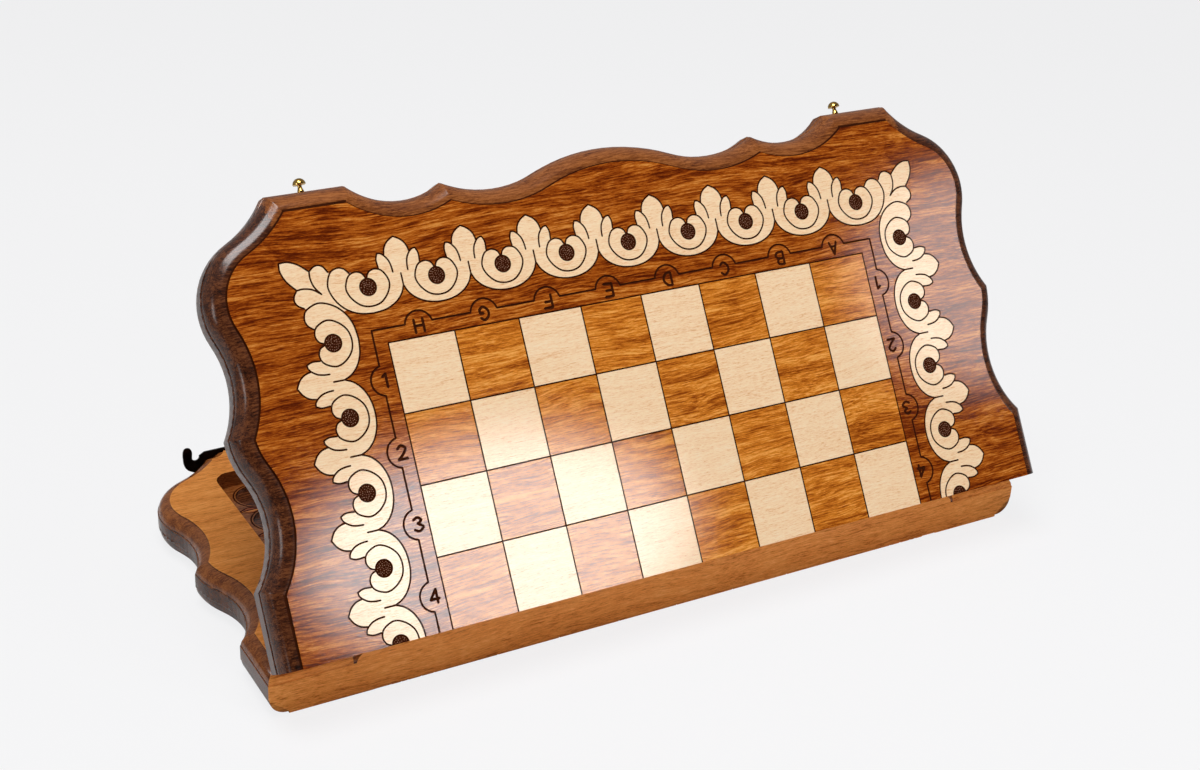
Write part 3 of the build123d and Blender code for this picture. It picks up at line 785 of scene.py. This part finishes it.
def metal(name, colours, rough, grain, relief):
    """Plated or turned metal: its colour clouded a little, with tool marks of a size and depth
    in millimetres."""
    material, tree, shader = surface(name, Metallic=1.0, Roughness=rough)
    place = add(tree, "ShaderNodeTexCoord").outputs["Object"]
    marks = add(tree, "ShaderNodeTexNoise",
                {"Vector": place, "Scale": 1 / (grain * MM), "Detail": 3.0})
    clouds = add(tree, "ShaderNodeTexNoise",
                 {"Vector": place, "Scale": 1 / (CLOUD_SIZE * MM), "Detail": 2.0})
    tone = add(tree, "ShaderNodeValToRGB", {"Fac": clouds.outputs["Fac"]},
               stops=[(0.38, colours[0]), (0.62, colours[1])])
    tree.links.new(tone.outputs["Color"], shader.inputs["Base Color"])
    bump = add(tree, "ShaderNodeBump",
               {"Height": marks.outputs["Fac"], "Distance": relief * MM, "Strength": 1.0})
    tree.links.new(bump.outputs["Normal"], shader.inputs["Normal"])
    return material


# Knobs turned from brass and polished: warm yellow with a small bright highlight
knob_brass = metal("polished_turned_brass", ("#C79A4B", "#E2BC6C"), 0.16, 0.6, 0.004)
# Hinge leaves and their screws, as rolled: a browner yellow with a broad soft highlight
hinge_brass = metal("rolled_brass_plate", ("#A87F3C", "#C49C52"), 0.3, 0.5, 0.008)
# Drawn pin of the hinge: neutral grey with a clear highlight on its heads
steel = metal("bright_steel_pin", ("#8F8F8C", "#B4B3AE"), 0.25, 0.5, 0.004)
# Hooks with their screws and washers: the metal drawn a brown that is nearly black, as painted
# # shade, mottled and weakly shiny
hook_metal_in_shade = metal("hook_metal_painted_shade", ("#17130F", "#2E251D"), 0.38, 0.8, 0.02)
for names, material in (
    (("catch_knob_left", "catch_knob_right"), knob_brass),
    (("hinge_leaf_lower", "hinge_leaf_upper"), hinge_brass),
    (("hinge_screws_lower", "hinge_screws_upper"), hinge_brass),
    (("hinge_pin",), steel),
    (("hook_left", "hook_right", "hook_screws", "hook_washers"), hook_metal_in_shade),
):
    for name in names:
        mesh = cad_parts[name].data
        mesh.materials.clear()
        mesh.materials.append(material)


# ---- Light, floor and world ---------------------------------------------------------------------
def flat_light(name, size, radiance, place, target, shape="RECTANGLE", roll=0.0):
    """Area lamp of a given brightness, seen from its front, pointing at target."""
    lamp = bpy.data.objects.new(name, bpy.data.lights.new(name, "AREA"))
    lamp.data.shape = shape
    lamp.data.size, lamp.data.size_y = size
    lamp.data.energy = radiance * math.pi * size[0] * size[1]
    lamp.location = place
    aim = (Vector(target) - Vector(place)).to_track_quat("-Z", "Y")
    lamp.rotation_mode = "QUATERNION"
    lamp.rotation_quaternion = aim @ Quaternion((0, 0, 1), roll)
    bpy.context.scene.collection.objects.link(lamp)


# The first two stand where the glossy lacquer mirrors them, and the others light the whole case
flat_light("window_softbox", (0.54, 0.30), 8.8, (0.43, -1.18, 0.75), (-0.16, 0, 0.1), "ELLIPSE",
           math.radians(-17))
flat_light("side_softbox", (0.30, 0.34), 4.5, (1.22, -0.92, 0.86), (0.24, 0, 0.16), "ELLIPSE")
flat_light("overhead_softbox", (1.3, 0.8), 9.2, (-0.4, -0.1, 2.0), (0, 0.1, 0.1))
flat_light("left_softbox", (0.4, 0.7), 4.0, (-2.0, -0.5, 0.9), (0, 0.1, 0.1))

# White paper: matt and even. The camera sees most of it as white as a lit background, and the
# rest keeps the soft shadow under the case.
FLOOR_REACH = 30
floor_mesh = bpy.data.meshes.new("floor")
corners = ((-1, -1), (1, -1), (1, 1), (-1, 1))
floor_mesh.from_pydata([(x * FLOOR_REACH, y * FLOOR_REACH, 0) for x, y in corners], [],
                       [(0, 1, 2, 3)])
floor = bpy.data.objects.new("floor", floor_mesh)
bpy.context.scene.collection.objects.link(floor)
paper, tree, shader = surface("white_paper", Roughness=0.9, Specular_IOR_Level=0.1)
shader.inputs["Base Color"].default_value = paint("#F2F2F3")
rays = add(tree, "ShaderNodeLightPath")
glow = add(tree, "ShaderNodeEmission", {"Color": paint("#F8F8F9"), "Strength": 1.0})
shown = add(tree, "ShaderNodeMath", {0: rays.outputs["Is Camera Ray"], 1: 0.88},
            operation="MULTIPLY")
mixed = add(tree, "ShaderNodeMixShader",
            {"Fac": shown.outputs[0], 1: shader.outputs[0], 2: glow.outputs[0]})
tree.links.new(mixed.outputs[0], tree.nodes["Material Output"].inputs["Surface"])
floor_mesh.materials.append(paper)

# White to the camera, and a low even light on everything matt. What shines mirrors a room that
# is dark in front and brighter at the back.
AMBIENT = 0.05
ROOM_FRONT, ROOM_BACK = (-0.7, 0.01), (0.3, 0.30)   # direction along y, and light from there
world = bpy.data.worlds.new("studio")
bpy.context.scene.world = world
world.use_nodes = True
sky = world.node_tree
background = sky.nodes["Background"]
background.inputs["Color"].default_value = paint("#F6F6F7")
rays = add(sky, "ShaderNodeLightPath")
seen = add(sky, "ShaderNodeMath",
           {0: rays.outputs["Is Camera Ray"], 1: rays.outputs["Is Glossy Ray"]},
           operation="MAXIMUM")
seen = add(sky, "ShaderNodeMath", {0: seen.outputs[0], 1: rays.outputs["Is Transmission Ray"]},
           operation="MAXIMUM")
place = add(sky, "ShaderNodeTexCoord")
way = add(sky, "ShaderNodeSeparateXYZ", {"Vector": place.outputs["Generated"]})
room = add(sky, "ShaderNodeMapRange",
           {"Value": way.outputs["Y"], "From Min": ROOM_FRONT[0], "From Max": ROOM_BACK[0],
            "To Min": ROOM_FRONT[1], "To Max": ROOM_BACK[1]}, interpolation_type="SMOOTHSTEP")
shown = add(sky, "ShaderNodeMath", {0: room.outputs[0], 1: rays.outputs["Is Camera Ray"]},
            operation="MAXIMUM")
level = add(sky, "ShaderNodeMix", {"Factor": seen.outputs[0], "A": AMBIENT, "B": shown.outputs[0]})
sky.links.new(level.outputs["Result"], background.inputs["Strength"])
